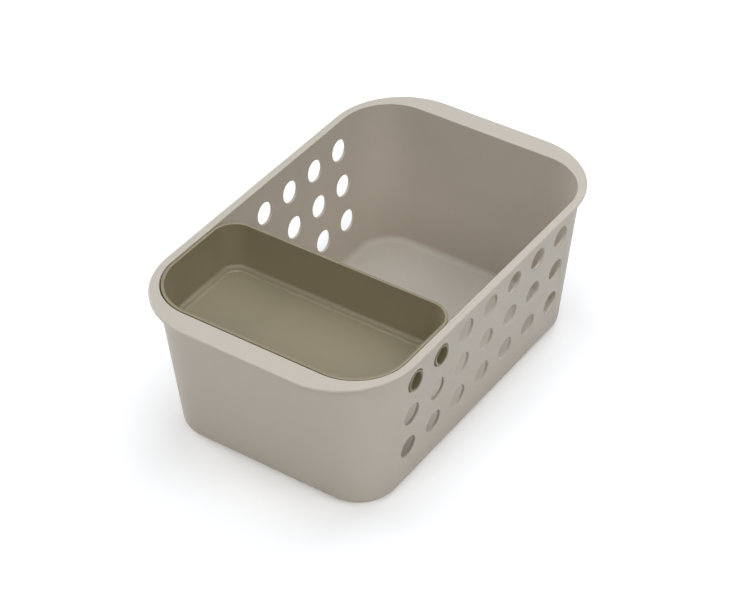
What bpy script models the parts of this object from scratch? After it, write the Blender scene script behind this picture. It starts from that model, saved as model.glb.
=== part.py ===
"""Bathroom storage basket with a lift-out tray.

An oblong basket is moulded in one piece, with a flat rim round its mouth and three rows of
round holes in each long wall. A smaller tray hangs in its front end on four hollow pegs, two
on each side, which stick out through holes of the top row.

Metres, +Z up. The origin is at the middle of the underside. The tray hangs at the front, at
-Y, and the long walls with the holes face +X and -X.
"""

import math
from dataclasses import dataclass

import bmesh
import bpy
from mathutils import Matrix

# Rim of the basket
RIM_LENGTH = 0.300
RIM_WIDTH = 0.192
BASKET_HEIGHT = 0.113
RIM_CORNER_RADIUS = 0.055
RIM_THICKNESS = 0.0022
RIM_EDGE_ROUND = 0.0007

# Mouth: the opening inside the flat top of the rim
SIDE_LEDGE = 0.0050
END_LEDGE = 0.0150
MOUTH_CORNER_RADIUS = 0.038
MOUTH_EDGE_ROUND = 0.0006

# Walls and floor of the basket; the tray's walls have the same lean
WALL = 0.0021
WALL_SLOPE = 0.100
FLOOR = 0.0022
BASE_FILLET = 0.0065
FLOOR_FILLET = 0.005

# Round holes in the long walls
HOLE_DIAMETER = 0.016
HOLE_PITCH_ALONG = 0.029
HOLE_PITCH_UP = 0.029
TOP_ROW_BELOW_RIM = 0.0215
HOLE_MARGIN = 0.001

# Tray
TRAY_RIM_DROP = 0.0005
TRAY_SIDE_CLEARANCE = 0.0004
TRAY_FRONT_CLEARANCE = 0.0010
TRAY_BEHIND_PEGS = 0.0207
TRAY_BELOW_PEGS = 0.014
TRAY_REAR_RADIUS = 0.018
TRAY_WALL = 0.0021
TRAY_FLOOR = 0.0018
TRAY_RIM_ROUND = 0.0006
TRAY_BASE_FILLET = 0.005
TRAY_FLOOR_FILLET = 0.0020
TRAY_PANEL_BORDER = 0.0025
TRAY_PANEL_STEP = 0.0008

# Pegs on the side walls of the tray
PEG_CLEARANCE = 0.0005
PEG_WALL = 0.0017
PEG_PROUD = 0.0006
PEG_TIP_CHAMFER = 0.0005
PEG_FLOOR = 0.0012
PEG_SEAT_GAP = 0.0003

# Smoothness of the round shapes
CORNER_STEPS = 12
FILLET_STEPS = 5
EDGE_STEPS = 2
ROUND_SIDES = 24
SMOOTH_ANGLE = math.radians(30)

# Colours of the two plastics
ECRU = (0.61, 0.57, 0.51)
OLIVE = (0.30, 0.27, 0.18)
MATTE_ROUGHNESS = 0.5


@dataclass(frozen=True)
class Outline:
    """A plan shape: four straight sides joined by round corners."""

    half_width: float
    front: float
    rear: float
    front_radius: float
    rear_radius: float

    def grown(self, amount):
        """The outline moved outwards all round; each corner keeps its centre."""
        return Outline(
            self.half_width + amount,
            self.front - amount,
            self.rear + amount,
            self.front_radius + amount,
            self.rear_radius + amount,
        )

    def points(self, height):
        """Points at one height, anticlockwise from the rear end of the right-hand side."""
        corners = (
            (1, self.rear - self.rear_radius, self.rear_radius),
            (-1, self.rear - self.rear_radius, self.rear_radius),
            (-1, self.front + self.front_radius, self.front_radius),
            (1, self.front + self.front_radius, self.front_radius),
        )
        ring = []
        for quarter, (side, centre_y, radius) in enumerate(corners):
            centre_x = side * (self.half_width - radius)
            for step in range(CORNER_STEPS + 1):
                turn = math.radians(90) * (quarter + step / CORNER_STEPS)
                x = centre_x + radius * math.cos(turn)
                y = centre_y + radius * math.sin(turn)
                ring.append((x, y, height))
        return ring


# Plan shapes at the height of the rim
RIM = Outline(RIM_WIDTH / 2, -RIM_LENGTH / 2, RIM_LENGTH / 2, RIM_CORNER_RADIUS, RIM_CORNER_RADIUS)
MOUTH = Outline(
    RIM.half_width - SIDE_LEDGE,
    RIM.front + END_LEDGE,
    RIM.rear - END_LEDGE,
    MOUTH_CORNER_RADIUS,
    MOUTH_CORNER_RADIUS,
)
INNER_FACE = MOUTH.grown(-MOUTH_EDGE_ROUND)
OUTER_FACE = INNER_FACE.grown(WALL)

# Places of the holes, counted by the room that the long wall has for them
WALL_FLAT_HALF = MOUTH.rear - MOUTH.rear_radius
TOP_ROW_HEIGHT = BASKET_HEIGHT - TOP_ROW_BELOW_RIM
HOLE_RADIUS = HOLE_DIAMETER / 2
HOLE_ROOM = HOLE_RADIUS + HOLE_MARGIN
COLUMNS_EACH_WAY = math.floor((WALL_FLAT_HALF - HOLE_ROOM) / HOLE_PITCH_ALONG)
ROWS_BELOW_TOP = math.floor((TOP_ROW_HEIGHT - FLOOR - FLOOR_FILLET - HOLE_ROOM) / HOLE_PITCH_UP)
COLUMNS = [step * HOLE_PITCH_ALONG for step in range(-COLUMNS_EACH_WAY, COLUMNS_EACH_WAY + 1)]
ROWS = [TOP_ROW_HEIGHT - step * HOLE_PITCH_UP for step in range(ROWS_BELOW_TOP + 1)]

# The tray fills the front of the mouth and hangs in the two front columns of the top row
PEG_COLUMNS = {"front": COLUMNS[0], "rear": COLUMNS[1]}
TRAY_TOP = BASKET_HEIGHT - TRAY_RIM_DROP
TRAY_BOTTOM = TOP_ROW_HEIGHT - TRAY_BELOW_PEGS
ROOM = INNER_FACE.grown(-TRAY_RIM_DROP * WALL_SLOPE)
TRAY_FACE = Outline(
    ROOM.half_width - TRAY_SIDE_CLEARANCE,
    ROOM.front + TRAY_FRONT_CLEARANCE,
    PEG_COLUMNS["rear"] + TRAY_BEHIND_PEGS,
    ROOM.front_radius - TRAY_SIDE_CLEARANCE,
    TRAY_REAR_RADIUS,
)
TRAY_INNER_FACE = TRAY_FACE.grown(-TRAY_WALL)
PEG_RADIUS = HOLE_RADIUS - PEG_CLEARANCE
PEG_BORE = PEG_RADIUS - PEG_WALL


def leaning(face, top, height, inset=0.0):
    """A ring at one height, inset from a leaning face whose outline is given at its top."""
    return face.grown(-(top - height) * WALL_SLOPE - inset).points(height)


def face_x(face, top, height):
    """How far a leaning side face stands from the middle plane at one height."""
    return face.half_width - (top - height) * WALL_SLOPE


def floor_round(radius):
    """Inset and rise of a fillet from a flat floor up to a leaning wall that it touches."""
    lean = math.atan(WALL_SLOPE)
    reach = radius * (1 - math.sin(lean)) / math.cos(lean)
    for step in range(FILLET_STEPS + 1):
        turn = -math.pi / 2 + (math.pi / 2 - lean) * step / FILLET_STEPS
        rise = radius * (1 + math.sin(turn))
        yield rise * WALL_SLOPE + reach - radius * math.cos(turn), rise


def edge_round(radius):
    """Inset and drop of a rounded edge, from its side face to its top face."""
    for step in range(EDGE_STEPS + 1):
        turn = math.pi / 2 * step / EDGE_STEPS
        yield radius * (1 - math.cos(turn)), radius * (1 - math.sin(turn))


def finish(name, bm, colour=None, parent=None):
    """Turn a bmesh into a named object, with its own plastic if it has a colour."""
    mesh = bpy.data.meshes.new(name)
    bm.to_mesh(mesh)
    bm.free()
    mesh.shade_smooth()
    mesh.set_sharp_from_angle(angle=SMOOTH_ANGLE)
    return place(name, mesh, colour, parent)


def place(name, mesh, colour=None, parent=None):
    """Put a mesh in the scene under a name."""
    piece = bpy.data.objects.new(name, mesh)
    bpy.context.scene.collection.objects.link(piece)
    piece.parent = parent
    if colour is None:
        piece.display_type = "WIRE"
        piece.hide_render = True
        return piece
    if not mesh.materials:
        mesh.materials.append(None)
    slot = piece.material_slots[0]
    slot.link = "OBJECT"
    slot.material = plastic(name, colour)
    return piece


def plastic(name, colour):
    """A matte moulded plastic."""
    material = bpy.data.materials.new(name + "_plastic")
    material.use_nodes = True
    shader = material.node_tree.nodes["Principled BSDF"]
    shader.inputs["Base Color"].default_value = (*colour, 1.0)
    shader.inputs["Roughness"].default_value = MATTE_ROUGHNESS
    shader.inputs["Metallic"].default_value = 0.0
    material.diffuse_color = (*colour, 1.0)
    return material


def loft(rings):
    """Skin rings that run up the outside and down the inside, with a flat cap at each end."""
    bm = bmesh.new()
    loops = [[bm.verts.new(point) for point in ring] for ring in rings]
    for below, above in zip(loops, loops[1:]):
        for index, vert in enumerate(below):
            after = (index + 1) % len(below)
            bm.faces.new((vert, below[after], above[after], above[index]))
    bm.faces.new(reversed(loops[0]))
    bm.faces.new(loops[-1])
    return bm


def add_cylinder(bm, radius, start_x, end_x, y, z):
    """Add a closed cylinder along X."""
    along_x = Matrix.Rotation(math.pi / 2, 4, "Y")
    middle = Matrix.Translation(((start_x + end_x) / 2, y, z))
    bmesh.ops.create_cone(
        bm,
        cap_ends=True,
        segments=ROUND_SIDES,
        radius1=radius,
        radius2=radius,
        depth=abs(end_x - start_x),
        matrix=middle @ along_x,
    )


def cut(piece, cutter):
    """Cut one shape out of another."""
    boolean = piece.modifiers.new("cut_" + cutter.name, "BOOLEAN")
    boolean.operation = "DIFFERENCE"
    boolean.solver = "EXACT"
    boolean.object = cutter


def build_basket():
    """The basket: shell, rim and holes."""
    top = BASKET_HEIGHT
    rings = [leaning(OUTER_FACE, top, rise, inset) for inset, rise in floor_round(BASE_FILLET)]
    rings.append(leaning(OUTER_FACE, top, top - RIM_THICKNESS))
    edge = list(edge_round(RIM_EDGE_ROUND))
    for inset, drop in reversed(edge):
        rings.append(RIM.grown(-inset).points(top - RIM_THICKNESS + drop))
    for inset, drop in edge:
        rings.append(RIM.grown(-inset).points(top - drop))
    for outset, drop in reversed(list(edge_round(MOUTH_EDGE_ROUND))):
        rings.append(leaning(INNER_FACE, top, top - drop, -outset))
    for inset, rise in reversed(list(floor_round(FLOOR_FILLET))):
        rings.append(leaning(INNER_FACE, top, FLOOR + rise, inset))
    basket = finish("basket", loft(rings), ECRU)

    holes = bmesh.new()
    for row in ROWS:
        for column in COLUMNS:
            add_cylinder(holes, HOLE_RADIUS, -RIM.half_width, RIM.half_width, column, row)
    cut(basket, finish("hole_cutter", holes))


def build_tray(lift):
    """The tray, without its pegs but with the hollows that continue theirs."""
    top = TRAY_TOP
    rings = []
    for inset, rise in floor_round(TRAY_BASE_FILLET):
        rings.append(leaning(TRAY_FACE, top, TRAY_BOTTOM + rise, inset))
    edge = list(edge_round(TRAY_RIM_ROUND))
    for inset, drop in edge:
        rings.append(leaning(TRAY_FACE, top, top - drop, inset))
    for inset, drop in reversed(edge):
        rings.append(leaning(TRAY_INNER_FACE, top, top - drop, -inset))
    border = TRAY_BOTTOM + TRAY_FLOOR + TRAY_PANEL_STEP
    feet = list(floor_round(TRAY_FLOOR_FILLET))
    for inset, rise in reversed(feet):
        rings.append(leaning(TRAY_INNER_FACE, top, border + rise, inset))
    foot_inset, _ = feet[0]
    panel = TRAY_INNER_FACE.grown(-(top - border) * WALL_SLOPE - foot_inset - TRAY_PANEL_BORDER)
    rings.append(panel.points(border))
    rings.append(panel.grown(-TRAY_PANEL_STEP).points(border - TRAY_PANEL_STEP))
    tray = finish("tray", loft(rings), OLIVE, lift)

    hollows = bmesh.new()
    hollow_floor = face_x(TRAY_INNER_FACE, top, TOP_ROW_HEIGHT) + PEG_FLOOR
    for side in (-1, 1):
        for column in PEG_COLUMNS.values():
            ends = (side * hollow_floor, side * RIM.half_width)
            add_cylinder(hollows, PEG_BORE, *ends, column, TOP_ROW_HEIGHT)
    cut(tray, finish("peg_hollow_cutter", hollows, parent=lift))


def peg_mesh(start_x, tip_x):
    """A hollow peg along X, from inside the tray's wall out to its tip."""
    chamfer = PEG_TIP_CHAMFER
    profile = (
        (PEG_BORE, start_x),
        (PEG_RADIUS, start_x),
        (PEG_RADIUS, tip_x - chamfer),
        (PEG_RADIUS - chamfer, tip_x),
        (PEG_BORE + chamfer, tip_x),
        (PEG_BORE, tip_x - chamfer),
    )
    bm = bmesh.new()
    loops = []
    for radius, x in profile:
        ring = []
        for step in range(ROUND_SIDES):
            turn = math.tau * step / ROUND_SIDES
            ring.append(bm.verts.new((x, radius * math.sin(turn), radius * math.cos(turn))))
        loops.append(ring)
    for number, ring in enumerate(loops):
        following = loops[(number + 1) % len(loops)]
        for index, vert in enumerate(ring):
            after = (index + 1) % ROUND_SIDES
            bm.faces.new((vert, following[index], following[after], ring[after]))
    bmesh.ops.recalc_face_normals(bm, faces=bm.faces)
    mesh = bpy.data.meshes.new("tray_peg")
    bm.to_mesh(mesh)
    bm.free()
    mesh.shade_smooth()
    mesh.set_sharp_from_angle(angle=SMOOTH_ANGLE)
    return mesh


def build_pegs(lift):
    """Two pegs on each side, seated on the tray's wall and reaching out through the holes."""
    seat_rings = [leaning(TRAY_FACE, TRAY_TOP, z, -PEG_SEAT_GAP) for z in (TRAY_BOTTOM, TRAY_TOP)]
    seat_cutter = finish("peg_seat_cutter", loft(seat_rings), parent=lift)
    start_x = face_x(TRAY_INNER_FACE, TRAY_TOP, TOP_ROW_HEIGHT)
    tip_x = face_x(OUTER_FACE, BASKET_HEIGHT, TOP_ROW_HEIGHT) + PEG_PROUD
    mesh = peg_mesh(start_x, tip_x)
    for side, turn in (("right", 0.0), ("left", math.pi)):
        for end, column in PEG_COLUMNS.items():
            peg = place(f"tray_peg_{side}_{end}", mesh, OLIVE, lift)
            peg.location = (0.0, column, TOP_ROW_HEIGHT)
            peg.rotation_euler.z = turn
            cut(peg, seat_cutter)


def main():
    """Clear the scene and build the basket and its tray."""
    for old in list(bpy.data.objects):
        bpy.data.objects.remove(old, do_unlink=True)
    lift = bpy.data.objects.new("tray_lift", None)
    bpy.context.scene.collection.objects.link(lift)
    build_basket()
    build_tray(lift)
    build_pegs(lift)


main()
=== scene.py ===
"""The looks of a bathroom storage basket and its lift-out tray.

The basket is one plastic moulding with a flat rim and round holes in its long walls. The
tray is a second moulding that hangs in the front end on four hollow pegs. Both are modelled
here with the rounded edges of real mouldings and dressed in satin plastic.

Metres, +Z up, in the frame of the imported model. The tray hangs at the -Y end.
"""

import logging
import math
from collections.abc import Iterator, Mapping, Sequence
from dataclasses import dataclass
from enum import Enum
from typing import Union

import bmesh
import bpy
from mathutils import Matrix, Vector


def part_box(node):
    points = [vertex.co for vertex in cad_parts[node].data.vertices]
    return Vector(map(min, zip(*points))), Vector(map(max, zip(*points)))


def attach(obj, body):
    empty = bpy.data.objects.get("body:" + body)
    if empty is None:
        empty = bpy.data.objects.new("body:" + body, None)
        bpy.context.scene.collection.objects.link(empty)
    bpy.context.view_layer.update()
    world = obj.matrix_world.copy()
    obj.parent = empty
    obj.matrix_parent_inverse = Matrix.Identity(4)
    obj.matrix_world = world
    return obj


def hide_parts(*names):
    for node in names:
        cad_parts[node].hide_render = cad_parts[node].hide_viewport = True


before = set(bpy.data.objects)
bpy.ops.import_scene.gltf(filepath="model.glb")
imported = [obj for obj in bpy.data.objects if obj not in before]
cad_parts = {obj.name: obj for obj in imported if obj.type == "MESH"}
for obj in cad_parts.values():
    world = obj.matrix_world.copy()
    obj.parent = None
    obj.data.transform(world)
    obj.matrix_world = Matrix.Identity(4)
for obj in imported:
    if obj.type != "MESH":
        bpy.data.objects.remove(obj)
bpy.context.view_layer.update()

LOG = logging.getLogger("basket")
MM = 0.001
QUARTER = math.pi / 2
PHOTO_WIDTH = 740
PHOTO_HEIGHT = 600

Colour = tuple[float, float, float]
Point = tuple[float, float, float]


class Side(Enum):
    """The long side walls, by the sign of their X."""

    RIGHT = 1
    LEFT = -1


class End(Enum):
    """The two pegs of a side wall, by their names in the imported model."""

    FRONT = "front"
    REAR = "rear"


class Mark(Enum):
    """What a point of a moulding is marked as, for its plastic: marked points on rounded edges are painted
    lighter, which is rubbed wear and a painted highlight.
    """

    PLAIN = 0.0
    # Rounded edges, painted lighter for rubbed wear and a painted highlight
    RUBBED = 1.0


class Wire:
    """An output socket of a shader node, on which Python expressions work."""

    def __init__(self, graph: "Graph", socket: bpy.types.NodeSocket) -> None:
        """Wrap a socket.

        Args:
            graph: The graph that holds the socket's node.
            socket: The output socket.
        """
        self.graph = graph
        self.socket = socket

    def _math(self, operation: str, first: "Value", second: "Value") -> "Wire":
        """Add one Math node.

        Args:
            operation: The node's operation.
            first: Its first input.
            second: Its second input.

        Returns:
            The node's output.
        """
        return self.graph.node("ShaderNodeMath", {"operation": operation}, {0: first, 1: second})

    def __add__(self, other: "Value") -> "Wire":
        """The sum of this value and another."""
        return self._math("ADD", self, other)

    def __sub__(self, other: "Value") -> "Wire":
        """This value less another."""
        return self._math("SUBTRACT", self, other)

    def __rsub__(self, other: "Value") -> "Wire":
        """Another value less this one."""
        return self._math("SUBTRACT", other, self)

    def __mul__(self, other: "Value") -> "Wire":
        """The product of this value and another."""
        return self._math("MULTIPLY", self, other)

    def __lt__(self, other: "Value") -> "Wire":
        """One where this value is under another, else zero."""
        return self._math("LESS_THAN", self, other)

    __radd__ = __add__
    __rmul__ = __mul__


Value = Union[float, Sequence[float], Wire]


class Graph:
    """The shader nodes of one material or of the world."""

    MIX_FACTOR = 0
    MIX_FIRST = 6
    MIX_SECOND = 7
    MIX_RESULT = 2
    MIRRORED = 0.4
    NOISE_MIDDLE = 0.5

    def __init__(self, tree: bpy.types.NodeTree) -> None:
        """Empty a node tree.

        Args:
            tree: The tree to fill.
        """
        self.tree = tree
        tree.nodes.clear()

    def node(
        self,
        kind: str,
        settings: Mapping[str, object] | None = None,
        sockets: Mapping[int | str, Value] | None = None,
        output: int | str = 0,
    ) -> Wire | None:
        """Add any node.

        Args:
            kind: The node's type.
            settings: Its settings, such as a Math node's operation.
            sockets: The values or wires of its inputs.
            output: Which output to return.

        Returns:
            That output, or None for a node that has none.
        """
        node = self.tree.nodes.new(kind)
        for name, value in (settings or {}).items():
            if name == "stops":
                self._set_stops(node.color_ramp, value)
            else:
                setattr(node, name, value)
        for key, value in (sockets or {}).items():
            if isinstance(value, Wire):
                self.tree.links.new(value.socket, node.inputs[key])
            else:
                node.inputs[key].default_value = value
        return Wire(self, node.outputs[output]) if len(node.outputs) else None

    @staticmethod
    def _set_stops(ramp: bpy.types.ColorRamp, stops: Sequence[tuple[float, float]]) -> None:
        """Give a colour ramp its stops.

        Args:
            ramp: The ramp.
            stops: Places and grey levels, in order.
        """
        while len(ramp.elements) < len(stops):
            ramp.elements.new(1.0)
        for element, (place, level) in zip(ramp.elements, stops):
            element.position = place
            element.color = (level, level, level, 1.0)

    def blend(self, factor: Value, first: Value, second: Value) -> Wire:
        """Mix two colours.

        Args:
            factor: How much of the second colour.
            first: The first colour.
            second: The second colour.

        Returns:
            The mixed colour.
        """
        sockets = {self.MIX_FACTOR: factor, self.MIX_FIRST: first, self.MIX_SECOND: second}
        return self.node("ShaderNodeMix", {"data_type": "RGBA"}, sockets, self.MIX_RESULT)

    def noise(self, place: Wire, period: float, detail: float = 2.0) -> Wire:
        """Soft noise.

        Args:
            place: Where it is read, in metres.
            period: The rough size of its blotches, in metres.
            detail: How many finer layers it has.

        Returns:
            The noise, about 0.5 on average.
        """
        sockets = {"Vector": place, "Scale": 1.0 / period, "Detail": detail}
        return self.node("ShaderNodeTexNoise", {}, sockets)

    def seen(self) -> Wire:
        """How much of a white surface shows: all where it is seen, part where it is mirrored.

        Returns:
            The share, for each ray of light.
        """
        camera = self.node("ShaderNodeLightPath", output="Is Camera Ray")
        glossy = self.node("ShaderNodeLightPath", output="Is Glossy Ray")
        clear = self.node("ShaderNodeLightPath", output="Is Transmission Ray")
        return camera + self.MIRRORED * glossy + clear


@dataclass(frozen=True)
class SatinPlastic:
    """Moulded plastic: a fine spark-eroded grain, a slow drift of tone, and rounded edges painted lighter
    for rubbed wear and a painted highlight.

    Attributes:
        name: The material's name.
        tone: Its main colour.
        deep_tone: The colour that it drifts to.
        rubbed_and_lit_tone: Its lighter colour on rounded edges, which is rubbed wear and a painted
            highlight along them.
        roughness: How rough it is between the edges.
        grain: Size of the grain, in metres.
        grain_depth: Depth of the grain, in metres.
        drift: Size of the blotches of tone, in metres.
        depth: How far light spreads inside it, in metres.
        milkiness: How much of its light comes back from inside.
    """

    name: str
    tone: Colour
    deep_tone: Colour
    rubbed_and_lit_tone: Colour
    roughness: float = 0.46
    grain: float = 0.45 * MM
    grain_depth: float = 0.012 * MM
    drift: float = 55 * MM
    depth: float = 1.2 * MM
    milkiness: float = 0.35

    REDDENING = (1.0, 0.8, 0.6)
    REFRACTION = 1.49
    MOTTLE = 6

    # How far the noise, the wear and the painted edge highlight change the tone and the roughness
    DRIFT_SHARE = 0.75
    # Share of the lighter edge tone: rubbed wear and a painted highlight on rounded edges
    RUBBED_AND_LIT_SHARE = 0.5
    DRIFT_DULLING = 0.06
    MOTTLE_DULLING = 0.05
    RUBBED_SHINE = 0.07
    SCUFF_DULLING = 0.18

    # The scratches underneath
    SCUFF_WIDTH = 0.8 * MM
    SCUFF_STRETCH = 0.07
    SCUFF_DETAIL = 3.0
    SCUFF_STOPS = ((0.60, 0.0), (0.68, 1.0))
    SCUFFED_HEIGHT = 0.1 * MM

    def material(self) -> bpy.types.Material:
        """Build the material.

        Returns:
            The material, for one moulding.
        """
        material = bpy.data.materials.new(self.name)
        material.use_nodes = True
        graph = Graph(material.node_tree)
        place = graph.node("ShaderNodeTexCoord", output="Object")
        drift = graph.noise(place, self.drift)
        grain = graph.noise(place, self.grain)
        mottle = graph.noise(place, self.MOTTLE * self.grain)
        rubbed = graph.node("ShaderNodeAttribute", {"attribute_name": "rubbed"}, output="Fac")
        scuffs = self._scuffs(graph, place)
        deepening = self.DRIFT_SHARE * drift + (1 - self.DRIFT_SHARE) * mottle
        colour = graph.blend(deepening, (*self.tone, 1), (*self.deep_tone, 1))
        # Rounded edges are painted lighter here: rubbed wear and a painted highlight along them
        colour = graph.blend(self.RUBBED_AND_LIT_SHARE * rubbed, colour, (*self.rubbed_and_lit_tone, 1))
        roughness = self.roughness + self.DRIFT_DULLING * (drift - graph.NOISE_MIDDLE)
        roughness = roughness + self.MOTTLE_DULLING * (mottle - graph.NOISE_MIDDLE)
        roughness = roughness - self.RUBBED_SHINE * rubbed + self.SCUFF_DULLING * scuffs
        sockets = {"Height": grain, "Distance": self.grain_depth, "Strength": 1.0}
        bump = graph.node("ShaderNodeBump", {}, sockets)
        sockets = {"Base Color": colour, "Roughness": roughness, "Normal": bump}
        sockets["IOR"] = self.REFRACTION
        sockets["Subsurface Weight"] = self.milkiness
        sockets["Subsurface Scale"] = self.depth
        sockets["Subsurface Radius"] = self.REDDENING
        shader = graph.node("ShaderNodeBsdfPrincipled", {}, sockets)
        graph.node("ShaderNodeOutputMaterial", {}, {"Surface": shader})
        return material

    def _scuffs(self, graph: Graph, place: Wire) -> Wire:
        """Fine scratches on the face that the moulding stands on.

        Args:
            graph: The material's graph.
            place: Where they are read, in metres.

        Returns:
            One in a scratch, else zero.
        """
        height = graph.node("ShaderNodeSeparateXYZ", {}, {0: place}, output="Z")
        stretch = (1.0, self.SCUFF_STRETCH, 1.0)
        drawn_out = graph.node("ShaderNodeMapping", {}, {"Vector": place, "Scale": stretch})
        lines = graph.noise(drawn_out, self.SCUFF_WIDTH, self.SCUFF_DETAIL)
        thin = graph.node("ShaderNodeValToRGB", {"stops": self.SCUFF_STOPS}, {0: lines})
        return thin * (height < self.SCUFFED_HEIGHT)


BASKET_PLASTIC = SatinPlastic(
    name="warm_grey_plastic",
    tone=(0.568, 0.511, 0.436),
    deep_tone=(0.548, 0.490, 0.415),
    # Lighter tone on rounded edges: rubbed wear and a painted highlight
    rubbed_and_lit_tone=(0.608, 0.552, 0.477),
)
TRAY_PLASTIC = SatinPlastic(
    name="olive_plastic",
    tone=(0.290, 0.247, 0.157),
    deep_tone=(0.275, 0.233, 0.146),
    # Lighter tone on rounded edges: rubbed wear and a painted highlight
    rubbed_and_lit_tone=(0.328, 0.286, 0.191),
    roughness=0.39,
)


@dataclass(frozen=True)
class Plan:
    """A plan shape: four straight sides joined by round corners.

    Attributes:
        half_width: How far the long sides stand from the middle plane.
        front: Y of the front side.
        rear: Y of the rear side.
        front_radius: Radius of the front corners.
        rear_radius: Radius of the rear corners.
    """

    half_width: float
    front: float
    rear: float
    front_radius: float
    rear_radius: float

    CORNER_STEPS = 28

    def grown(self, amount: float) -> "Plan":
        """Move the outline outwards; each corner keeps its centre.

        Args:
            amount: How far, in metres.

        Returns:
            The larger plan.
        """
        return Plan(
            self.half_width + amount,
            self.front - amount,
            self.rear + amount,
            self.front_radius + amount,
            self.rear_radius + amount,
        )

    def reach(self, y: float) -> float:
        """X of the right-hand side at one y.

        Args:
            y: Where along the side.

        Returns:
            How far it stands from the middle plane there.
        """
        past_rear = y - (self.rear - self.rear_radius)
        past_front = self.front + self.front_radius - y
        if past_rear > 0:
            return self.half_width - self.rear_radius + math.sqrt(self.rear_radius**2 - past_rear**2)
        if past_front > 0:
            return self.half_width - self.front_radius + math.sqrt(self.front_radius**2 - past_front**2)
        return self.half_width

    def ring(self, height: float, stops: Sequence[float]) -> list[Point]:
        """Points round the outline at one height, anticlockwise from the rear right corner.

        Args:
            height: Their Z.
            stops: The Y of extra points along both long sides, from front to rear.

        Returns:
            The points.
        """
        points = self._corner(Side.RIGHT, self.rear - self.rear_radius, self.rear_radius, 0, height)
        points += self._corner(Side.LEFT, self.rear - self.rear_radius, self.rear_radius, 1, height)
        points += [(-self.half_width, y, height) for y in reversed(stops)]
        points += self._corner(Side.LEFT, self.front + self.front_radius, self.front_radius, 2, height)
        points += self._corner(Side.RIGHT, self.front + self.front_radius, self.front_radius, 3, height)
        points += [(self.half_width, y, height) for y in stops]
        return points

    def _corner(
        self,
        side: Side,
        centre_y: float,
        radius: float,
        quarter: int,
        height: float,
    ) -> list[Point]:
        """The points of one round corner.

        Args:
            side: Which long side it meets.
            centre_y: Y of its centre.
            radius: Its radius.
            quarter: How many quarter turns it starts from +X.
            height: Z of the points.

        Returns:
            The points, anticlockwise.
        """
        centre_x = side.value * (self.half_width - radius)
        points = []
        for step in range(self.CORNER_STEPS + 1):
            turn = QUARTER * (quarter + step / self.CORNER_STEPS)
            points.append((centre_x + radius * math.cos(turn), centre_y + radius * math.sin(turn), height))
        return points


@dataclass(frozen=True)
class Lean:
    """A leaning wall face: its outline at its top, and how it slopes in below.

    Attributes:
        plan: The outline at the top.
        top: Z of the top.
        slope: How far it moves in for each metre down.
    """

    plan: Plan
    top: float
    slope: float

    def at(self, height: float, inset: float = 0.0) -> Plan:
        """The face's outline at one height.

        Args:
            height: Z of the outline.
            inset: How far it is moved in.

        Returns:
            The plan there.
        """
        return self.plan.grown(-(self.top - height) * self.slope - inset)

    def foot(self, radius: float, steps: int = 10) -> Iterator[tuple[float, float]]:
        """The fillet from a flat floor up to this face.

        Args:
            radius: Its radius.
            steps: How many faces it has.

        Yields:
            Inset from the face and rise above the floor, from the floor up.
        """
        lean = math.atan(self.slope)
        reach = radius * (1 - math.sin(lean)) / math.cos(lean)
        for step in range(steps + 1):
            turn = -QUARTER + (QUARTER - lean) * step / steps
            rise = radius * (1 + math.sin(turn))
            yield rise * self.slope + reach - radius * math.cos(turn), rise


def edge_round(radius: float, steps: int = 4) -> list[tuple[float, float]]:
    """A rounded edge between a side face and a top face.

    Args:
        radius: Its radius.
        steps: How many faces it has.

    Returns:
        Inset from the side and drop from the top, from the side to the top.
    """
    turns = [QUARTER * step / steps for step in range(steps + 1)]
    return [(radius * (1 - math.cos(turn)), radius * (1 - math.sin(turn))) for turn in turns]


def marked(steps: Sequence[tuple[float, float]]) -> Iterator[tuple[float, float, Mark]]:
    """Mark the steps of a rounded edge that lie between its two ends as rubbed, which paints them lighter:
    rubbed wear and a painted highlight.

    Args:
        steps: The edge's insets and drops.

    Yields:
        Each inset and drop, with its mark.
    """
    for number, (inset, drop) in enumerate(steps):
        between = 0 < number < len(steps) - 1
        yield inset, drop, Mark.RUBBED if between else Mark.PLAIN


def bridge(mesh: bmesh.types.BMesh, loops: Sequence[Sequence[bmesh.types.BMVert]]) -> None:
    """Join each loop of points to the next with a band of faces.

    Args:
        mesh: The mesh that holds them.
        loops: The loops, each with as many points as the others.
    """
    for first, second in zip(loops, loops[1:]):
        for index, vert in enumerate(first):
            after = (index + 1) % len(first)
            mesh.faces.new((vert, first[after], second[after], second[index]))


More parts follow.
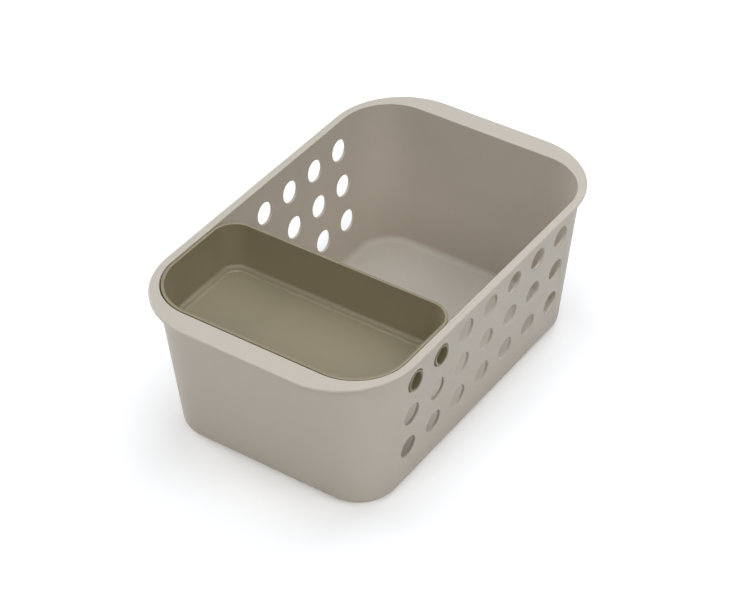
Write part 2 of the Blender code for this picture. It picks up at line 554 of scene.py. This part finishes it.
class Skin:
    """The closed skin of a moulding, laid as rings up the outside and down the inside."""

    def __init__(self, stops: Sequence[float] = ()) -> None:
        """Start an empty skin.

        Args:
            stops: The Y of extra points along both long sides.
        """
        self.mesh = bmesh.new()
        # The mark of rounded edges, which the plastic paints lighter for rubbed wear and a painted
        # highlight
        self.rubbed = self.mesh.verts.layers.float.new("rubbed")
        self.stops = stops
        self.rings: list[list[bmesh.types.BMVert]] = []
        self.windows: set[tuple[int, int]] = set()

    def point(self, place: Point, mark: Mark = Mark.PLAIN) -> bmesh.types.BMVert:
        """Add a point.

        Args:
            place: Where it is.
            mark: What it is marked as.

        Returns:
            The new vertex.
        """
        vert = self.mesh.verts.new(place)
        vert[self.rubbed] = mark.value
        return vert

    def add(self, plan: Plan, height: float, mark: Mark = Mark.PLAIN) -> int:
        """Lay the next ring.

        Args:
            plan: Its outline.
            height: Its Z.
            mark: What its points are marked as.

        Returns:
            The ring's number.
        """
        self.rings.append([self.point(place, mark) for place in plan.ring(height, self.stops)])
        return len(self.rings) - 1

    def add_round(self, like: Plan, centre_y: float, radius: float, height: float) -> None:
        """Lay a round ring, with as many points as the others.

        Args:
            like: The outline that it is matched to.
            centre_y: Y of its centre.
            radius: Its radius.
            height: Its Z.
        """
        ring = []
        for x, y, _ in like.ring(height, self.stops):
            away = Vector((x, y - centre_y)).normalized() * radius
            ring.append(self.point((away.x, centre_y + away.y, height)))
        self.rings.append(ring)

    def column(self, side: Side, number: int) -> int:
        """Where a column of faces between the stops of a long side starts in each ring.

        Args:
            side: Which side.
            number: Which column, from the front.

        Returns:
            The index of the column's first point.
        """
        # A ring runs through two corners, the left stops, two more corners and the right stops
        corner = Plan.CORNER_STEPS + 1
        if side is Side.RIGHT:
            return 4 * corner + len(self.stops) - 1 + number
        return 2 * corner - 1 + len(self.stops) - number

    def close(self) -> None:
        """Join the rings with faces, leave the windows open, and cap both ends."""
        for number, (below, above) in enumerate(zip(self.rings, self.rings[1:])):
            for index, vert in enumerate(below):
                if (number, index) in self.windows:
                    continue
                after = (index + 1) % len(below)
                self.mesh.faces.new((vert, below[after], above[after], above[index]))
        self.mesh.faces.new(reversed(self.rings[0]))
        self.mesh.faces.new(self.rings[-1])

    def piece(self, name: str) -> bpy.types.Object:
        """Turn the skin into an object.

        Args:
            name: The object's name.

        Returns:
            The object.
        """
        bmesh.ops.recalc_face_normals(self.mesh, faces=self.mesh.faces)
        mesh = bpy.data.meshes.new(name)
        self.mesh.to_mesh(mesh)
        self.mesh.free()
        piece = bpy.data.objects.new(name, mesh)
        bpy.context.scene.collection.objects.link(piece)
        return piece


class Moulding:
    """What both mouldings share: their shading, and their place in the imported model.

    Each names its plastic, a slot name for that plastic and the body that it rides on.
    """

    PLASTIC: SatinPlastic
    SLOT: str
    BODY: str

    SHARP_ANGLE = math.radians(40)
    FLATNESS = 100

    def nodes(self) -> tuple[str, ...]:
        """The nodes that the moulding stands for."""
        return (self.BODY,)

    def dress(self, piece: bpy.types.Object) -> None:
        """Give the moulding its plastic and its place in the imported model.

        Args:
            piece: The built moulding.
        """
        piece.data.shade_smooth()
        piece.data.set_sharp_from_angle(angle=self.SHARP_ANGLE)
        self._settle_normals(piece)
        piece.data.materials.clear()
        piece.data.materials.append(self.PLASTIC.material())
        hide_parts(*self.nodes())
        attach(piece, self.BODY)
        LOG.info("%s: %d faces, on body %s", piece.name, len(piece.data.polygons), self.BODY)

    def _settle_normals(self, piece: bpy.types.Object) -> None:
        """Keep flat faces flat beside rounded edges.

        Args:
            piece: The moulding to shade.
        """
        weighted = piece.modifiers.new("flat_faces_stay_flat", "WEIGHTED_NORMAL")
        weighted.mode = "FACE_AREA"
        weighted.weight = self.FLATNESS
        weighted.keep_sharp = True


@dataclass(frozen=True)
class GateMark:
    """The round dimple under a moulding, with the stub where the plastic was let in.

    Attributes:
        radius: Radius of the dimple.
        depth: Its depth.
        stub_radius: Radius of the stub.
        stub_height: How far the stub stands out of the dimple.
        bevel: Width of the dimple's slanting edge.
    """

    radius: float = 5.0 * MM
    depth: float = 0.5 * MM
    stub_radius: float = 1.1 * MM
    stub_height: float = 0.25 * MM
    bevel: float = 0.4 * MM

    STUB_TIP = 0.8
    STUB_SHOULDER = 0.7

    def lay(self, skin: Skin, like: Plan, centre_y: float, floor: float) -> None:
        """Lay its rings, from the stub out to the underside.

        Args:
            skin: The moulding's skin, still empty.
            like: The outline of the underside.
            centre_y: Y of its centre.
            floor: Z of the underside.
        """
        roof = floor + self.depth
        shoulder = roof - self.STUB_SHOULDER * self.stub_height
        skin.add_round(like, centre_y, self.STUB_TIP * self.stub_radius, roof - self.stub_height)
        skin.add_round(like, centre_y, self.stub_radius, shoulder)
        skin.add_round(like, centre_y, self.stub_radius, roof)
        skin.add_round(like, centre_y, self.radius - self.bevel, roof)
        skin.add_round(like, centre_y, self.radius, floor)


@dataclass(frozen=True)
class Basket(Moulding):
    """The basket: floor, leaning walls with round holes, and rim.

    Attributes:
        length: Length of the rim.
        width: Width of the rim.
        height: Height of the rim's top.
        rim_corner: Corner radius of the rim.
        rim_thickness: Thickness of the rim.
        rim_edge: Radius of the rim's outer edges.
        side_ledge: Flat width of the rim at the long sides.
        end_ledge: Flat width of the rim at the short ends.
        mouth_corner: Corner radius of the mouth.
        mouth_edge: Radius of the mouth's edge.
        root_fillet: Fillet between the wall and the rim above it.
        wall: Thickness of the walls.
        slope: How far the walls move in for each metre down.
        floor: Thickness of the floor.
        base_fillet: Outer fillet of the base.
        floor_fillet: Inner fillet of the floor.
        hole_radius: Radius of the holes.
        hole_pitch: Distance between the holes, along and up.
        hole_edge: Radius of their edges on the outside.
        hole_inner_edge: Radius of their edges on the inside.
        hole_columns: How many columns there are.
        hole_rows: How many rows there are.
        top_row: How far the top row lies below the rim.
    """

    length: float
    width: float
    height: float
    rim_corner: float = 55 * MM
    rim_thickness: float = 2.2 * MM
    rim_edge: float = 1.05 * MM
    side_ledge: float = 5.0 * MM
    end_ledge: float = 15.0 * MM
    mouth_corner: float = 38 * MM
    mouth_edge: float = 0.6 * MM
    root_fillet: float = 1.5 * MM
    wall: float = 2.1 * MM
    slope: float = 0.100
    floor: float = 2.2 * MM
    base_fillet: float = 6.5 * MM
    floor_fillet: float = 5.0 * MM
    hole_radius: float = 8.0 * MM
    hole_pitch: float = 29 * MM
    hole_edge: float = 0.7 * MM
    hole_inner_edge: float = 0.35 * MM
    hole_columns: int = 7
    hole_rows: int = 3
    top_row: float = 21.5 * MM

    PLASTIC = BASKET_PLASTIC
    SLOT = "basket_plastic"
    BODY = "basket"
    HOLE_SIDES = 48
    HOLE_EDGE_STEPS = 3

    @classmethod
    def from_frame(cls) -> "Basket":
        """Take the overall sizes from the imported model.

        Returns:
            The basket.
        """
        low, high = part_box("basket")
        size = high - low
        return cls(length=size.y, width=size.x, height=size.z)

    def mouth(self) -> Plan:
        """Work out the outline of the mouth, in the rim's top.

        Returns:
            The outline.
        """
        half_length = self.length / 2 - self.end_ledge
        half_width = self.width / 2 - self.side_ledge
        return Plan(half_width, -half_length, half_length, self.mouth_corner, self.mouth_corner)

    def inner_face(self) -> Lean:
        """The inner face of the walls."""
        return Lean(self.mouth().grown(-self.mouth_edge), self.height, self.slope)

    def outer_face(self) -> Lean:
        """The outer face of the walls."""
        return Lean(self.inner_face().plan.grown(self.wall), self.height, self.slope)

    def rows(self) -> list[float]:
        """The heights of the rows of holes, from the bottom."""
        top = self.height - self.top_row
        return [top - self.hole_pitch * step for step in reversed(range(self.hole_rows))]

    def columns(self) -> list[float]:
        """The places of the columns of holes, from the front."""
        middle = (self.hole_columns - 1) / 2
        return [self.hole_pitch * (step - middle) for step in range(self.hole_columns)]

    def build(self) -> bpy.types.Object:
        """Build the moulding.

        Returns:
            The object.
        """
        stops = [column + self.hole_pitch / 2 for column in self.columns()[:-1]]
        levels = [self.rows()[0] - self.hole_pitch / 2]
        levels += [row + self.hole_pitch / 2 for row in self.rows()]
        skin = Skin(stops)
        outer = self.outer_face()
        inner = self.inner_face()
        feet = list(outer.foot(self.base_fillet))
        underside = outer.at(0.0, feet[0][0])
        GateMark().lay(skin, underside, 0.0, 0.0)
        for inset, rise in feet:
            skin.add(outer.at(rise, inset), rise)
        outer_rings = [skin.add(outer.at(level), level) for level in levels]
        self._lay_rim(skin)
        inner_rings = [skin.add(inner.at(level), level) for level in reversed(levels)]
        inner_rings.reverse()
        for inset, rise in reversed(list(inner.foot(self.floor_fillet))):
            skin.add(inner.at(self.floor + rise, inset), self.floor + rise)
        self._pierce_all(skin, outer_rings, inner_rings)
        skin.close()
        return skin.piece("basket_moulding")

    def _lay_rim(self, skin: Skin) -> None:
        """Lay the rings of the rim, from the outer wall over to the inner wall.

        Args:
            skin: The basket's skin.
        """
        outer = self.outer_face()
        inner = self.inner_face()
        half_length = self.length / 2
        corner = self.rim_corner
        rim = Plan(self.width / 2, -half_length, half_length, corner, corner)
        under = self.height - self.rim_thickness
        for inset, drop in edge_round(self.root_fillet):
            skin.add(outer.at(under - drop, -inset), under - drop)
        edge = edge_round(self.rim_edge)
        for inset, drop, mark in marked(edge[::-1]):
            skin.add(rim.grown(-inset), under + drop, mark)
        for inset, drop, mark in marked(edge):
            skin.add(rim.grown(-inset), self.height - drop, mark)
        for outset, drop, mark in marked(edge_round(self.mouth_edge)[::-1]):
            skin.add(inner.at(self.height - drop, -outset), self.height - drop, mark)

    def _pierce_all(self, skin: Skin, outer_rings: list[int], inner_rings: list[int]) -> None:
        """Open every hole in both long walls.

        Args:
            skin: The basket's skin.
            outer_rings: The rings between the rows on the outer face, from the bottom.
            inner_rings: The same on the inner face.
        """
        for side in Side:
            for number, column in enumerate(self.columns()):
                start = skin.column(side, number)
                for row_number, row in enumerate(self.rows()):
                    outer = outer_rings[row_number : row_number + 2]
                    inner = inner_rings[row_number : row_number + 2]
                    skin.windows.add((min(outer), start))
                    skin.windows.add((min(inner), start))
                    self._pierce(skin, side, start, (column, row), outer, inner)

    def _pierce(
        self,
        skin: Skin,
        side: Side,
        start: int,
        centre: tuple[float, float],
        outer: list[int],
        inner: list[int],
    ) -> None:
        """Lay one hole: its rounded edges, its wall, and a patch of each face round it.

        Args:
            skin: The basket's skin.
            side: Which wall.
            start: Where its column starts in each ring.
            centre: Y and Z of its centre.
            outer: The two rings round its row on the outer face, the lower first.
            inner: The same on the inner face.
        """
        loops = []
        for deep, wide, mark in marked(edge_round(self.hole_edge, self.HOLE_EDGE_STEPS)):
            loops.append(self._circle(skin, side, centre, self.outer_face(), (wide, -deep), mark))
        for deep, wide, mark in marked(edge_round(self.hole_inner_edge, self.HOLE_EDGE_STEPS)[::-1]):
            loops.append(self._circle(skin, side, centre, self.inner_face(), (wide, deep), mark))
        bridge(skin.mesh, loops)
        self._patch(skin, start, outer, loops[0])
        self._patch(skin, start, inner, loops[-1])

    def _circle(
        self,
        skin: Skin,
        side: Side,
        centre: tuple[float, float],
        face: Lean,
        offset: tuple[float, float],
        mark: Mark,
    ) -> list[bmesh.types.BMVert]:
        """Lay one loop of a hole.

        Args:
            skin: The basket's skin.
            side: Which wall.
            centre: Y and Z of the hole's centre.
            face: The wall face that the loop is measured from.
            offset: How much wider than the hole it is, and how far it lies outside that face.
            mark: What its points are marked as.

        Returns:
            Its points, from 45 degrees below the rear.
        """
        wide, out = offset
        loop = []
        for number in range(self.HOLE_SIDES):
            turn = 4 * QUARTER * number / self.HOLE_SIDES - QUARTER / 2
            y = centre[0] + (self.hole_radius + wide) * math.cos(turn)
            z = centre[1] + (self.hole_radius + wide) * math.sin(turn)
            loop.append(skin.point((side.value * (face.at(z).half_width + out), y, z), mark))
        return loop

    @staticmethod
    def _patch(skin: Skin, start: int, rings: list[int], loop: list[bmesh.types.BMVert]) -> None:
        """Fill the wall face between a hole and the four points of its window.

        Args:
            skin: The basket's skin.
            start: Where the hole's column starts in each ring.
            rings: The two rings round its row, the lower first.
            loop: The hole's loop on this face.
        """
        lower, upper = (skin.rings[number] for number in rings)
        ends = (start, (start + 1) % len(lower))
        front, rear = sorted(ends, key=lambda index: lower[index].co.y)
        corners = (lower[rear], upper[rear], upper[front], lower[front])
        quarter = len(loop) // len(corners)
        for number, corner in enumerate(corners):
            following = corners[(number + 1) % len(corners)]
            arc = [loop[(number * quarter + step) % len(loop)] for step in range(quarter + 1)]
            skin.mesh.faces.new([corner, following, *reversed(arc)])


@dataclass(frozen=True)
class Peg:
    """A hollow peg on a side wall of the tray.

    Attributes:
        node: The node that it stands for.
        side: Which wall it stands on.
        y: Y of its axis.
        z: Z of its axis.
        tip: How far its tip stands from the middle plane.
        radius: Its outer radius.
    """

    node: str
    side: Side
    y: float
    z: float
    tip: float
    radius: float

    SIDES = 48
    MIDDLE = 0.02

    @classmethod
    def from_frame(cls, side: Side, end: End) -> "Peg":
        """Take a peg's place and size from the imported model.

        Args:
            side: Which wall it stands on.
            end: Which of the two pegs there.

        Returns:
            The peg.
        """
        node = f"tray_peg_{side.name.lower()}_{end.value}"
        low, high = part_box(node)
        middle = (low + high) / 2
        tip = max(abs(low.x), abs(high.x))
        return cls(node, side, middle.y, middle.z, tip, (high.z - low.z) / 2)

    def turned(self, mesh: bmesh.types.BMesh, seat: Lean, stations: Sequence[tuple[float, float]]) -> None:
        """Add a closed round solid about the peg's axis, with its inner end on a wall face.

        Args:
            mesh: The mesh to add it to.
            seat: The wall face that its inner end lies on.
            stations: Radius and distance from the middle plane of its rings, outwards.
        """
        seated = (self.MIDDLE * self.radius, stations[0][0])
        loops = [self._seat_loop(mesh, seat, radius) for radius in seated]
        for radius, x in stations:
            loops.append([self._point(mesh, x, y, z) for y, z in self._circle(radius)])
        bridge(mesh, loops)
        mesh.faces.new(loops[0])
        mesh.faces.new(loops[-1])

    def _circle(self, radius: float) -> Iterator[tuple[float, float]]:
        """Lay points round the peg's axis.

        Args:
            radius: How far they are from it.

        Yields:
            Y and Z of each.
        """
        for number in range(self.SIDES):
            turn = 4 * QUARTER * number / self.SIDES
            yield self.y + radius * math.cos(turn), self.z + radius * math.sin(turn)

    def _seat_loop(self, mesh: bmesh.types.BMesh, seat: Lean, radius: float) -> list[bmesh.types.BMVert]:
        """A ring of points on the wall face, at one radius from the axis."""
        return [self._point(mesh, seat.at(z).reach(y), y, z) for y, z in self._circle(radius)]

    def _point(self, mesh: bmesh.types.BMesh, x: float, y: float, z: float) -> bmesh.types.BMVert:
        """A point on the peg's own side, at a distance from the middle plane."""
        return mesh.verts.new((self.side.value * x, y, z))


@dataclass(frozen=True)
class Tray(Moulding):
    """The lift-out tray: floor, leaning walls and four hollow pegs, in one moulding.

    Attributes:
        half_width: Half its width at the rim.
        front: Y of its front at the rim.
        rear: Y of its rear at the rim.
        top: Z of its rim.
        bottom: Z of its underside.
        pegs: Its pegs.
        front_corner: Radius of its front corners.
        rear_corner: Radius of its rear corners.
        slope: How far the walls move in for each metre down.
        wall: Thickness of the walls.
        floor: Thickness of the floor inside its border.
        rim_round: Radius of the rim's outer edge.
        rim_inner_round: Radius of its inner edge.
        base_fillet: Outer fillet of the base.
        floor_fillet: Inner fillet of the floor.
        border: Width of the raised border round the floor.
        border_step: How far the border stands over the floor.
        border_run: Width of the slope from the border down to the floor.
        peg_wall: Wall of the pegs.
        peg_edge: Radius of the edges of their tips.
        peg_skin: Thickness of the tray's wall behind their hollows.
    """

    half_width: float
    front: float
    rear: float
    top: float
    bottom: float
    pegs: tuple[Peg, ...]
    front_corner: float = 36.95 * MM
    rear_corner: float = 18 * MM
    slope: float = 0.100
    wall: float = 2.1 * MM
    floor: float = 1.8 * MM
    rim_round: float = 0.6 * MM
    rim_inner_round: float = 0.4 * MM
    base_fillet: float = 5.0 * MM
    floor_fillet: float = 2.4 * MM
    border: float = 1.9 * MM
    border_step: float = 0.8 * MM
    border_run: float = 1.5 * MM
    peg_wall: float = 1.7 * MM
    peg_edge: float = 0.55 * MM
    peg_skin: float = 1.2 * MM

    PLASTIC = TRAY_PLASTIC
    SLOT = "tray_plastic"
    BODY = "tray"
    FOOT_STEPS = 8
    BORDER_STEPS = 8
    PEG_EDGE_STEPS = 3

    @classmethod
    def from_frame(cls) -> "Tray":
        """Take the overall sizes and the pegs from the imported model.

        Returns:
            The tray.
        """
        low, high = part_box("tray")
        pegs = tuple(Peg.from_frame(side, end) for side in Side for end in End)
        return cls(high.x, low.y, high.y, high.z, low.z, pegs)

    def nodes(self) -> tuple[str, ...]:
        """The nodes that the moulding stands for: the tray and its pegs."""
        return (self.BODY, *(peg.node for peg in self.pegs))

    def face(self) -> Lean:
        """The outer face of the walls."""
        plan = Plan(self.half_width, self.front, self.rear, self.front_corner, self.rear_corner)
        return Lean(plan, self.top, self.slope)

    def build(self) -> bpy.types.Object:
        """Build the moulding.

        Returns:
            The object.
        """
        tray = self._shell()
        pegs = self._pegs()
        hollows = self._hollows()
        for operation, tool in (("UNION", pegs), ("DIFFERENCE", hollows)):
            change = tray.modifiers.new(tool.name, "BOOLEAN")
            change.operation = operation
            change.solver = "EXACT"
            change.object = tool
        bpy.context.view_layer.update()
        whole = tray.evaluated_get(bpy.context.evaluated_depsgraph_get())
        tray.modifiers.clear()
        tray.data = bpy.data.meshes.new_from_object(whole)
        for tool in (pegs, hollows):
            bpy.data.objects.remove(tool)
        return tray

    def _shell(self) -> bpy.types.Object:
        """Build the tray without its pegs.

        Returns:
            The object.
        """
        face = self.face()
        skin = Skin()
        middle = (self.front + self.rear) / 2
        feet = list(face.foot(self.base_fillet, self.FOOT_STEPS))
        GateMark().lay(skin, face.at(self.bottom, feet[0][0]), middle, self.bottom)
        for inset, rise in feet:
            skin.add(face.at(self.bottom + rise, inset), self.bottom + rise)
        for inset, drop, mark in marked(edge_round(self.rim_round)):
            skin.add(face.at(self.top - drop, inset), self.top - drop, mark)
        for inset, drop, mark in marked(edge_round(self.rim_inner_round)[::-1]):
            skin.add(face.at(self.top - drop, self.wall - inset), self.top - drop, mark)
        border = self.bottom + self.floor + self.border_step
        feet = list(face.foot(self.floor_fillet, self.FOOT_STEPS))
        for inset, rise in reversed(feet):
            skin.add(face.at(border + rise, self.wall + inset), border + rise)
        foot = face.at(border, self.wall + feet[0][0] + self.border)
        for number in range(self.BORDER_STEPS + 1):
            share = number / self.BORDER_STEPS
            drop = self.border_step * (1 - math.cos(math.pi * share)) / 2
            skin.add(foot.grown(-self.border_run * share), border - drop)
        skin.close()
        return skin.piece("tray_moulding")

    def _pegs(self) -> bpy.types.Object:
        """Build the four pegs without their hollows, rooted in the middle of the walls.

        Returns:
            One object that holds all four.
        """
        seat = Lean(self.face().plan.grown(-self.wall / 2), self.top, self.slope)
        pegs = Skin()
        for peg in self.pegs:
            edge = edge_round(self.peg_edge, self.PEG_EDGE_STEPS)
            peg.turned(pegs.mesh, seat, [(peg.radius - inset, peg.tip - drop) for inset, drop in edge])
        return pegs.piece("pegs")

    def _hollows(self) -> bpy.types.Object:
        """Build the hollows of the pegs, with flared mouths for their rounded edges.

        Returns:
            One object that holds all four.
        """
        seat = Lean(self.face().plan.grown(self.peg_skin - self.wall), self.top, self.slope)
        hollows = Skin()
        for peg in self.pegs:
            bore = peg.radius - self.peg_wall
            edge = edge_round(self.peg_edge, self.PEG_EDGE_STEPS)
            stations = [(bore + inset, peg.tip - drop) for inset, drop in edge]
            stations.append((bore + self.peg_edge, peg.tip + MM))
            peg.turned(hollows.mesh, seat, stations)
        return hollows.piece("hollows")


@dataclass(frozen=True)
class PhotoCamera:
    """The camera, placed where the photograph was taken from.

    Attributes:
        azimuth: Degrees round from the front, to the right.
        elevation: Degrees above the horizon.
        roll: Degrees that the picture is turned.
        distance: Distance to the point that it is aimed at.
        focal_pixels: Focal length, in pixels of the photograph.
        centre_x: Column of the photograph on the optical axis.
        centre_y: Row of the photograph on the optical axis.
        aim_height: Height of the point that it is aimed at, over the origin.
    """

    azimuth: float = 34.654
    elevation: float = 39.080
    roll: float = -0.755
    distance: float = 1.574
    focal_pixels: float = 2363.7
    centre_x: float = 374.65
    centre_y: float = 307.22
    aim_height: float = 0.05

    SENSOR_WIDTH = 36.0
    NEAREST = 0.01

    def build(self) -> bpy.types.Object:
        """Set up the camera.

        Returns:
            The camera.
        """
        azimuth = math.radians(self.azimuth)
        elevation = math.radians(self.elevation)
        level = Vector((math.cos(azimuth), math.sin(azimuth), 0.0))
        away = Vector((math.sin(azimuth), -math.cos(azimuth), 0.0))
        back = math.cos(elevation) * away + math.sin(elevation) * Vector((0.0, 0.0, 1.0))
        upright = back.cross(level)
        roll = math.radians(self.roll)
        right = math.cos(roll) * level + math.sin(roll) * upright
        up = math.cos(roll) * upright - math.sin(roll) * level
        lens = bpy.data.cameras.new("photo_camera")
        lens.sensor_width = self.SENSOR_WIDTH
        lens.lens = self.SENSOR_WIDTH * self.focal_pixels / PHOTO_WIDTH
        lens.shift_x = (PHOTO_WIDTH / 2 - self.centre_x) / PHOTO_WIDTH
        lens.shift_y = (self.centre_y - PHOTO_HEIGHT / 2) / PHOTO_WIDTH
        lens.clip_start = self.NEAREST
        camera = bpy.data.objects.new("photo_camera", lens)
        place = back * self.distance + Vector((0.0, 0.0, self.aim_height))
        turn = Matrix((right, up, back)).transposed().to_4x4()
        camera.matrix_world = Matrix.Translation(place) @ turn
        bpy.context.scene.collection.objects.link(camera)
        bpy.context.scene.camera = camera
        return camera


@dataclass(frozen=True)
class Softbox:
    """A soft lamp over or beside the table.

    Attributes:
        name: Its name.
        place: Where it hangs.
        size: Length of its sides.
        power: Its power, in watts.
        tint: Its colour.
        aim: The point that it faces.
    """

    name: str
    place: Point
    size: float
    power: float
    tint: Colour
    aim: Point = (0.0, 0.0, 0.05)

    def build(self) -> bpy.types.Object:
        """Hang the lamp.

        Returns:
            The lamp.
        """
        light = bpy.data.lights.new(self.name, "AREA")
        light.shape = "SQUARE"
        light.size = self.size
        light.energy = self.power
        light.color = self.tint
        lamp = bpy.data.objects.new(self.name, light)
        lamp.location = self.place
        lamp.rotation_euler = (Vector(self.place) - Vector(self.aim)).to_track_quat("Z", "Y").to_euler()
        bpy.context.scene.collection.objects.link(lamp)
        return lamp


@dataclass(frozen=True)
class Studio:
    """The plain table top, the soft light and the white surroundings.

    Attributes:
        table_size: Length of the table top's sides.
        table_tone: Its grey level.
        table_glow: How much whiter it is seen than it is lit.
        softboxes: The lamps.
    """

    table_size: float = 12.0
    table_tone: float = 0.9
    table_glow: float = 0.24
    softboxes: tuple[Softbox, ...] = (
        Softbox("overhead", (0.0, 0.0, 2.0), 1.4, 18.8, (0.82, 0.9, 1.0)),
        Softbox("rear", (0.0, 1.2, 1.7), 1.2, 12.4, (0.96, 0.965, 1.0)),
        Softbox("right", (1.6, 0.0, 1.3), 1.0, 10.8, (0.99, 0.98, 0.965)),
        Softbox("left", (-2.0, 0.0, 0.8), 1.0, 16.6, (0.985, 0.98, 0.97)),
        Softbox("front", (0.0, -1.6, 1.3), 1.0, 9.3, (0.99, 0.98, 0.95)),
        Softbox("front_right", (1.2, -1.2, 1.3), 0.9, 3.2, (0.985, 0.985, 0.97)),
    )

    def build(self) -> None:
        """Set up the studio."""
        scene = bpy.context.scene
        scene.view_settings.view_transform = "Standard"
        self._table()
        self._surroundings()
        for softbox in self.softboxes:
            softbox.build()

    def _table(self) -> None:
        """Lay the table top."""
        mesh = bmesh.new()
        bmesh.ops.create_grid(mesh, x_segments=1, y_segments=1, size=self.table_size / 2)
        data = bpy.data.meshes.new("table_top")
        mesh.to_mesh(data)
        mesh.free()
        table = bpy.data.objects.new("table_top", data)
        bpy.context.scene.collection.objects.link(table)
        material = bpy.data.materials.new("white_table")
        material.use_nodes = True
        graph = Graph(material.node_tree)
        tone = (self.table_tone, self.table_tone, self.table_tone, 1.0)
        matte = graph.node("ShaderNodeBsdfDiffuse", {}, {"Color": tone})
        glow = graph.node("ShaderNodeEmission", {}, {"Strength": graph.seen() * self.table_glow})
        both = graph.node("ShaderNodeAddShader", {}, {0: matte, 1: glow})
        graph.node("ShaderNodeOutputMaterial", {}, {"Surface": both})
        data.materials.append(material)

    def _surroundings(self) -> None:
        """Show white behind the object and in what it mirrors, without lighting it."""
        world = bpy.data.worlds.new("surroundings")
        world.use_nodes = True
        bpy.context.scene.world = world
        graph = Graph(world.node_tree)
        white = graph.node("ShaderNodeBackground", {}, {"Color": (1, 1, 1, 1), "Strength": graph.seen()})
        graph.node("ShaderNodeOutputWorld", {}, {"Surface": white})


def main() -> None:
    """Build the mouldings, dress them and set up the studio."""
    logging.basicConfig(level=logging.INFO, format="%(name)s: %(message)s")
    PhotoCamera().build()
    Studio().build()
    for kind in (Basket, Tray):
        moulding = kind.from_frame()
        moulding.dress(moulding.build())


if __name__ == "__main__":
    main()
